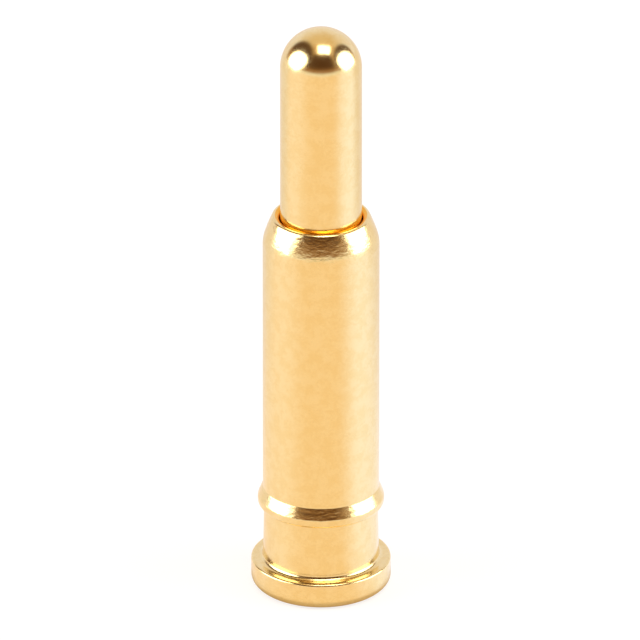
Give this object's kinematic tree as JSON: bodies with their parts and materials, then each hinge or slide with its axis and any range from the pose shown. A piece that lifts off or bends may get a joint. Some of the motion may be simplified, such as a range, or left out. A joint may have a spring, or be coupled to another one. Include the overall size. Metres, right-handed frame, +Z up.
{
  "type": "pogo pin",
  "caption": "Spring-loaded contact pin: round-nosed plunger sliding in a gold-plated barrel with a press-fit bead and a flat soldering foot.",
  "frame": {"origin": "middle of the underside of the foot", "axes": "+Z up the pin's axis, from the foot to the tip of the plunger; a solid of revolution, so X and Y are free"},
  "size_m": [0.0018, 0.0018, 0.0078],
  "materials": {
    "barrel_plating": "gold-plated, fine turned",
    "plunger_plating": "gold-plated, polished",
    "spring_wire": "drawn stainless wire"
  },
  "bodies": {
    "barrel": {"barrel": "barrel_plating", "spring": "spring_wire"},
    "plunger": {"plunger": "plunger_plating"}
  },
  "joints": [
    {"name": "plunger_travel", "type": "slide", "parent": "barrel", "child": "plunger", "axis": [0, 0, 1], "range_m": [-0.0014, 0], "stiffness_N_per_m": 470, "springref_m": 0.0005, "deforming": ["spring"]}
  ]
}
